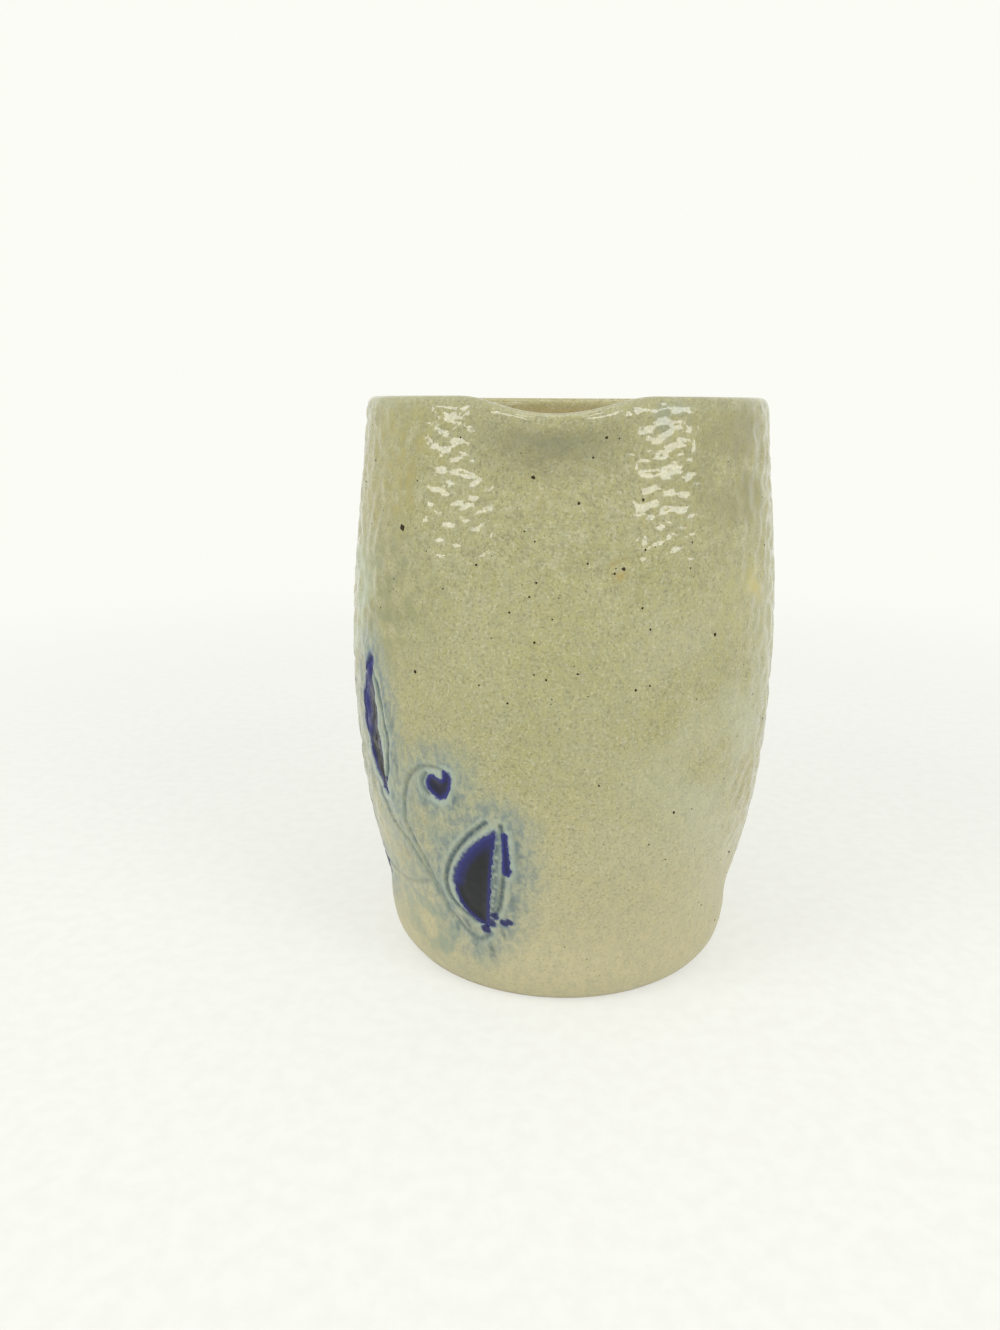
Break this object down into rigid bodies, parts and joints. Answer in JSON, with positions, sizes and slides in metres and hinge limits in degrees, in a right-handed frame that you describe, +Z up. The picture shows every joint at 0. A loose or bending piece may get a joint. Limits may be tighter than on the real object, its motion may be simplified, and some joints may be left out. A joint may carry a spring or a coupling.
{
  "type": "stoneware creamer",
  "caption": "Barrel-shaped salt-glazed stoneware creamer with a pulled pouring lip, a strap handle opposite it, and an incised sprig filled with cobalt slip.",
  "frame": {"origin": "middle of the flat foot, on the axis of the thrown body", "axes": "+Z up along the body's axis, -Y towards the pouring lip, +Y towards the handle, the sprig on the -X side"},
  "size_m": [0.0826, 0.1091, 0.108],
  "materials": {
    "stoneware": "salt glaze, pebbled and glossy, grey-green to buff with iron specks",
    "luting_slip": "salt-glazed clay slip, smoothed by finger",
    "cobalt_slip": "glassy blue-black pools with a lighter blue edge"
  },
  "bodies": {
    "root": {"thrown_body": "stoneware", "strap_handle": "stoneware", "handle_root_slip": "luting_slip", "handle_tail_slip": "luting_slip", "cobalt_bud": "cobalt_slip", "cobalt_petal_right": "cobalt_slip", "cobalt_petal_left": "cobalt_slip", "cobalt_berry_right": "cobalt_slip", "cobalt_berry_left": "cobalt_slip", "cobalt_leaf_right": "cobalt_slip", "cobalt_leaf_left": "cobalt_slip", "cobalt_vein_right": "cobalt_slip", "cobalt_vein_left": "cobalt_slip"}
  },
  "joints": []
}
